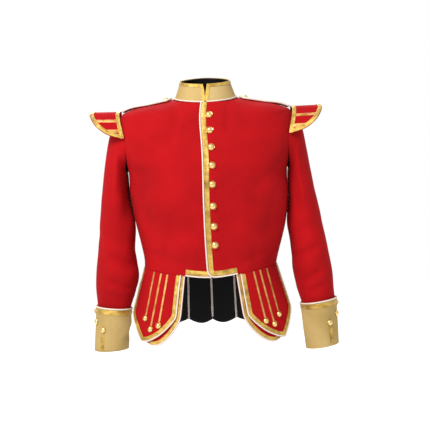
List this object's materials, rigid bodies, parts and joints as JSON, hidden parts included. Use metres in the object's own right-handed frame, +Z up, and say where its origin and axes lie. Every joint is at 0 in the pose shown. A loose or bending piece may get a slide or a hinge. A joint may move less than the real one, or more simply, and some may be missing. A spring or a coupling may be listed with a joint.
{
  "type": "pipe band jacket",
  "caption": "Short red wool doublet, filled out as worn, with a buff standing collar and cuffs, gold braid, white piping, shoulder wings and flaps below the waist.",
  "frame": {"origin": "middle of the neck's base, between the shoulder seams, where the wearer's shoulders carry it", "axes": "+Z up, -Y out of the front, +X to the wearer's left; metres"},
  "size_m": [0.6635, 0.2793, 0.7396],
  "materials": {
    "red_wool": "matt barathea wool",
    "buff_wool": "matt wool facing",
    "black_lining": "smooth satin lining",
    "gold_braid": "woven metal thread",
    "white_piping": "matt cotton cord",
    "gilt_buttons": "polished gilt"
  },
  "bodies": {
    "root": {"back_left": "red_wool", "back_right": "red_wool", "back_tail_left": "red_wool", "back_tail_right": "red_wool", "collar": "buff_wool", "collar_braid": "gold_braid", "collar_lining": "black_lining", "collar_piping": "white_piping", "cuff_braid_left": "gold_braid", "cuff_braid_right": "gold_braid", "cuff_button_back_left": "gilt_buttons", "cuff_button_back_right": "gilt_buttons", "cuff_button_front_left": "gilt_buttons", "cuff_button_front_right": "gilt_buttons", "cuff_button_middle_left": "gilt_buttons", "cuff_button_middle_right": "gilt_buttons", "cuff_left": "buff_wool", "cuff_piping_left": "white_piping", "cuff_piping_right": "white_piping", "cuff_right": "buff_wool", "flap_button_1_left": "gilt_buttons", "flap_button_1_right": "gilt_buttons", "flap_button_2_left": "gilt_buttons", "flap_button_2_right": "gilt_buttons", "flap_button_3_left": "gilt_buttons", "flap_button_3_right": "gilt_buttons", "front_braid": "gold_braid", "front_button_1": "gilt_buttons", "front_button_2": "gilt_buttons", "front_button_3": "gilt_buttons", "front_button_4": "gilt_buttons", "front_button_5": "gilt_buttons", "front_button_6": "gilt_buttons", "front_button_7": "gilt_buttons", "front_button_8": "gilt_buttons", "front_flap_braid_left": "gold_braid", "front_flap_braid_right": "gold_braid", "front_flap_left": "red_wool", "front_flap_right": "red_wool", "front_left": "red_wool", "front_piping": "white_piping", "front_right": "red_wool", "hem_braid": "gold_braid", "hem_piping": "white_piping", "shoulder_strap_left": "red_wool", "shoulder_strap_right": "red_wool", "side_tail_left": "red_wool", "side_tail_right": "red_wool", "sleeve_top_left": "red_wool", "sleeve_top_right": "red_wool", "sleeve_under_left": "red_wool", "sleeve_under_right": "red_wool", "strap_button_left": "gilt_buttons", "strap_button_right": "gilt_buttons", "under_flap_left": "red_wool", "under_flap_right": "red_wool", "wing_braid_left": "gold_braid", "wing_braid_right": "gold_braid", "wing_left": "red_wool", "wing_right": "red_wool"}
  },
  "joints": []
}
